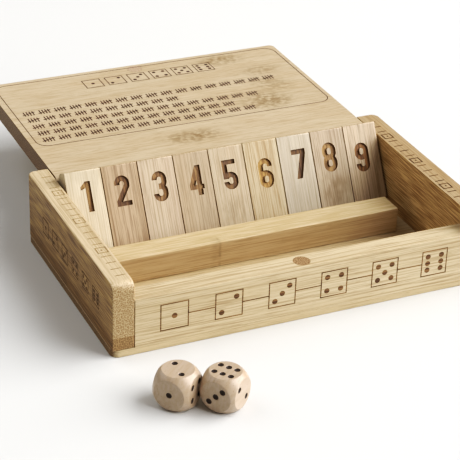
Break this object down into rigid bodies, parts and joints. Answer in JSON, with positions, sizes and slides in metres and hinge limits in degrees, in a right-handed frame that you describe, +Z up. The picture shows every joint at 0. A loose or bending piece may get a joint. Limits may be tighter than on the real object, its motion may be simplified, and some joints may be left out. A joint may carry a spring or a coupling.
{
  "type": "shut the box game",
  "caption": "Bamboo dice game: an open case with flip-down number tiles on a rod, a hinged lid, a dice tray and wooden dice.",
  "frame": {"origin": "middle of the base board's underside", "axes": "+X to the player's right, +Y from the front wall to the rear wall, +Z up"},
  "size_m": [0.188, 0.2766, 0.0427],
  "materials": {
    "bamboo_case": "sanded and lightly oiled bamboo",
    "bamboo_lid": "sanded and lightly oiled bamboo",
    "tile_wood": "sanded bamboo with carved numbers",
    "plug_wood": "sanded end grain",
    "dice_wood": "smooth wood with painted pips",
    "steel": "drawn steel",
    "magnet": "nickel plated"
  },
  "bodies": {
    "case": {"base_board": "bamboo_case", "left_wall": "bamboo_case", "right_wall": "bamboo_case", "front_wall": "bamboo_case", "rear_wall": "bamboo_case", "divider_rail": "bamboo_case", "tile_rod": "steel", "left_hinge_pin": "steel", "right_hinge_pin": "steel", "front_magnet": "magnet", "front_magnet_plug": "plug_wood"},
    "lid": {"lid_board": "bamboo_lid", "lid_magnet": "magnet", "lid_magnet_plug": "plug_wood"},
    "tile_1_body": {"tile_1": "tile_wood"},
    "tile_2_body": {"tile_2": "tile_wood"},
    "tile_3_body": {"tile_3": "tile_wood"},
    "tile_4_body": {"tile_4": "tile_wood"},
    "tile_5_body": {"tile_5": "tile_wood"},
    "tile_6_body": {"tile_6": "tile_wood"},
    "tile_7_body": {"tile_7": "tile_wood"},
    "tile_8_body": {"tile_8": "tile_wood"},
    "tile_9_body": {"tile_9": "tile_wood"},
    "die_1_body": {"die_1": "dice_wood"},
    "die_2_body": {"die_2": "dice_wood"}
  },
  "joints": [
    {"name": "lid_hinge", "type": "hinge", "parent": "case", "child": "lid", "pos_m": [0, 0.0508, 0.0321], "axis": [1, 0, 0], "range_deg": [0, 94]},
    {"name": "tile_1_flip", "type": "hinge", "parent": "case", "child": "tile_1_body", "pos_m": [0, 0.02958, 0.0202], "axis": [1, 0, 0], "range_deg": [0, 119]},
    {"name": "tile_2_flip", "type": "hinge", "parent": "case", "child": "tile_2_body", "pos_m": [0, 0.02958, 0.0202], "axis": [1, 0, 0], "range_deg": [0, 119]},
    {"name": "tile_3_flip", "type": "hinge", "parent": "case", "child": "tile_3_body", "pos_m": [0, 0.02958, 0.0202], "axis": [1, 0, 0], "range_deg": [0, 119]},
    {"name": "tile_4_flip", "type": "hinge", "parent": "case", "child": "tile_4_body", "pos_m": [0, 0.02958, 0.0202], "axis": [1, 0, 0], "range_deg": [0, 119]},
    {"name": "tile_5_flip", "type": "hinge", "parent": "case", "child": "tile_5_body", "pos_m": [0, 0.02958, 0.0202], "axis": [1, 0, 0], "range_deg": [0, 119]},
    {"name": "tile_6_flip", "type": "hinge", "parent": "case", "child": "tile_6_body", "pos_m": [0, 0.02958, 0.0202], "axis": [1, 0, 0], "range_deg": [0, 119]},
    {"name": "tile_7_flip", "type": "hinge", "parent": "case", "child": "tile_7_body", "pos_m": [0, 0.02958, 0.0202], "axis": [1, 0, 0], "range_deg": [0, 119]},
    {"name": "tile_8_flip", "type": "hinge", "parent": "case", "child": "tile_8_body", "pos_m": [0, 0.02958, 0.0202], "axis": [1, 0, 0], "range_deg": [0, 119]},
    {"name": "tile_9_flip", "type": "hinge", "parent": "case", "child": "tile_9_body", "pos_m": [0, 0.02958, 0.0202], "axis": [1, 0, 0], "range_deg": [0, 119]},
    {"name": "die_1_lift", "type": "slide", "parent": "case", "child": "die_1_body", "axis": [0, 0, 1], "range_m": [0, 0.03]},
    {"name": "die_2_lift", "type": "slide", "parent": "case", "child": "die_2_body", "axis": [0, 0, 1], "range_m": [0, 0.03]}
  ]
}
